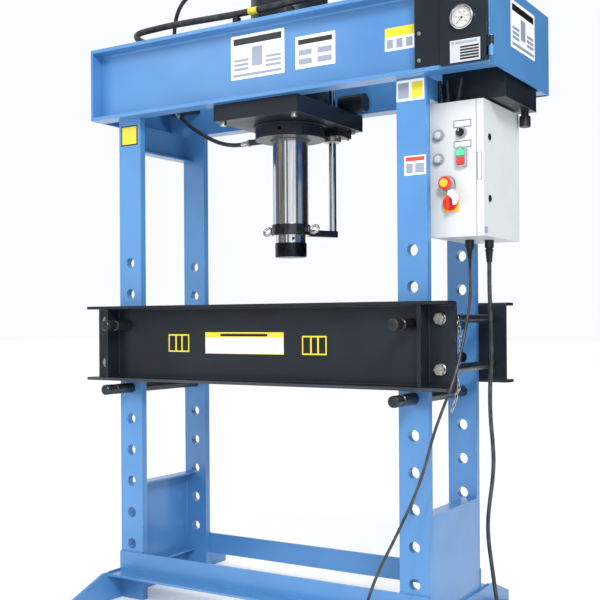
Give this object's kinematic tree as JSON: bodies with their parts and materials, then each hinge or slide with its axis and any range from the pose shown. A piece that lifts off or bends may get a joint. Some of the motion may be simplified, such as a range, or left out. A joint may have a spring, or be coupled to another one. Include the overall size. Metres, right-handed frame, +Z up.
{
  "type": "hydraulic press",
  "caption": "Motor-driven workshop press: four drilled upright bars, a blue head with a vertical cylinder, a black bed hung on pins, a control cabinet and an oil tank.",
  "frame": {"origin": "on the floor, under the middle of the box round the press without its free cords", "axes": "+Z up, -Y towards the operator's side, +X towards the control cabinet"},
  "size_m": [1.598, 0.85, 2.21],
  "materials": {
    "blue_paint": "gloss enamel",
    "black_paint": "gloss enamel",
    "cabinet_paint": "fine textured powder coat",
    "chrome_plate": "ground and polished hard chrome",
    "black_steel": "blackened, satin",
    "bright_steel": "bright zinc plated",
    "pin_steel": "dark oiled bar",
    "seal_rubber": "moulded, matt",
    "cord_rubber": "smooth jacket",
    "hose_rubber": "wrapped rubber cover",
    "gland_plastic": "moulded polyamide",
    "bezel_grey": "satin grey ring",
    "knob_black": "moulded",
    "button_green": "moulded",
    "button_red": "moulded",
    "dial_white": "printed card",
    "cap_plastic": "moulded"
  },
  "bodies": {
    "root": {"base_angles": "blue_paint", "floor_feet": "blue_paint", "head_front_beam": "blue_paint", "head_rear_beam": "blue_paint", "head_left_plate": "blue_paint", "head_right_cover": "blue_paint", "upright_front_left": "blue_paint", "upright_front_right": "blue_paint", "upright_rear_left": "blue_paint", "upright_rear_right": "blue_paint", "side_plates": "blue_paint", "cabinet_straps": "blue_paint", "bed_front_channel": "black_paint", "bed_rear_channel": "black_paint", "bed_spacers": "black_paint", "mount_plate": "black_paint", "cylinder_barrel": "black_paint", "gland_ring": "black_paint", "guide_block": "black_paint", "oil_tank": "black_paint", "front_panel": "black_paint", "hydraulic_blocks": "black_paint", "rod_seal": "seal_rubber", "guide_bush": "bright_steel", "frame_bolts": "bright_steel", "drain_cap": "cap_plastic", "cabinet_body": "cabinet_paint", "control_bezels": "bezel_grey", "glands_and_fittings": "gland_plastic", "control_cord": "cord_rubber", "control_coil": "cord_rubber", "control_plug": "knob_black", "mains_lead": "cord_rubber", "mains_coil": "cord_rubber", "mains_plug": "button_red", "cabinet_cables": "cord_rubber", "hose_lower": "hose_rubber", "hose_upper": "hose_rubber", "hose_supply": "hose_rubber"},
    "ram": {"piston": "bright_steel", "ram_rod": "chrome_plate", "rod_collar": "black_paint", "lifting_eyes": "bright_steel", "ram_nose": "black_steel", "guide_rod": "chrome_plate"},
    "pin_upper_left": {"pin_upper_left": "pin_steel"},
    "pin_upper_right": {"pin_upper_right": "pin_steel"},
    "pin_lower_left": {"pin_lower_left": "pin_steel"},
    "pin_lower_right": {"pin_lower_right": "pin_steel"},
    "gauge_door": {"gauge_door": "black_paint", "gauge_case": "black_steel"},
    "gauge_needle": {"gauge_needle": "knob_black"},
    "cabinet_door": {"cabinet_door": "cabinet_paint"},
    "lock_upper": {"lock_upper": "knob_black"},
    "lock_lower": {"lock_lower": "knob_black"},
    "selector_knob": {"selector_knob": "knob_black"},
    "green_button": {"green_button": "button_green"},
    "red_button": {"red_button": "button_red"},
    "estop_button": {"estop_button": "button_red"},
    "main_switch_knob": {"main_switch_knob": "button_red"}
  },
  "joints": [
    {"name": "ram_slide", "type": "slide", "parent": "root", "child": "ram", "axis": [0, 0, -1], "range_m": [-0.275, 0.095]},
    {"name": "pin_upper_left_pull", "type": "slide", "parent": "root", "child": "pin_upper_left", "axis": [0, -1, 0], "range_m": [0, 0.42]},
    {"name": "pin_upper_right_pull", "type": "slide", "parent": "root", "child": "pin_upper_right", "axis": [0, -1, 0], "range_m": [0, 0.42]},
    {"name": "pin_lower_left_pull", "type": "slide", "parent": "root", "child": "pin_lower_left", "axis": [0, -1, 0], "range_m": [0, 0.42]},
    {"name": "pin_lower_right_pull", "type": "slide", "parent": "root", "child": "pin_lower_right", "axis": [0, -1, 0], "range_m": [0, 0.42]},
    {"name": "gauge_door_hinge", "type": "hinge", "parent": "root", "child": "gauge_door", "pos_m": [0.7595, -0.25, 1.735], "axis": [0, 0, 1], "range_deg": [0, 110]},
    {"name": "gauge_needle_turn", "type": "hinge", "parent": "gauge_door", "child": "gauge_needle", "pos_m": [0.6765, -0.264, 1.824], "axis": [0, 1, 0], "range_deg": [0, 270], "stiffness_Nm_per_rad": 0.02},
    {"name": "cabinet_door_hinge", "type": "hinge", "parent": "root", "child": "cabinet_door", "pos_m": [0.6865, 0.165, 1.421], "axis": [0, 0, 1], "range_deg": [0, 20]},
    {"name": "lock_upper_turn", "type": "hinge", "parent": "cabinet_door", "child": "lock_upper", "pos_m": [0.6865, -0.091, 1.513], "axis": [1, 0, 0], "range_deg": [0, 90]},
    {"name": "lock_lower_turn", "type": "hinge", "parent": "cabinet_door", "child": "lock_lower", "pos_m": [0.6865, -0.091, 1.332], "axis": [1, 0, 0], "range_deg": [0, 90]},
    {"name": "selector_turn", "type": "hinge", "parent": "root", "child": "selector_knob", "pos_m": [0.6165, -0.131, 1.527], "axis": [0, 1, 0], "range_deg": [-45, 45]},
    {"name": "green_press", "type": "slide", "parent": "root", "child": "green_button", "axis": [0, 1, 0], "range_m": [0, 0.0035], "stiffness_N_per_m": 800},
    {"name": "red_press", "type": "slide", "parent": "root", "child": "red_button", "axis": [0, 1, 0], "range_m": [0, 0.0035], "stiffness_N_per_m": 800},
    {"name": "estop_press", "type": "slide", "parent": "root", "child": "estop_button", "axis": [0, 1, 0], "range_m": [0, 0.005]},
    {"name": "main_switch_turn", "type": "hinge", "parent": "root", "child": "main_switch_knob", "pos_m": [0.5835, -0.131, 1.321], "axis": [0, 1, 0], "range_deg": [0, 90]}
  ]
}
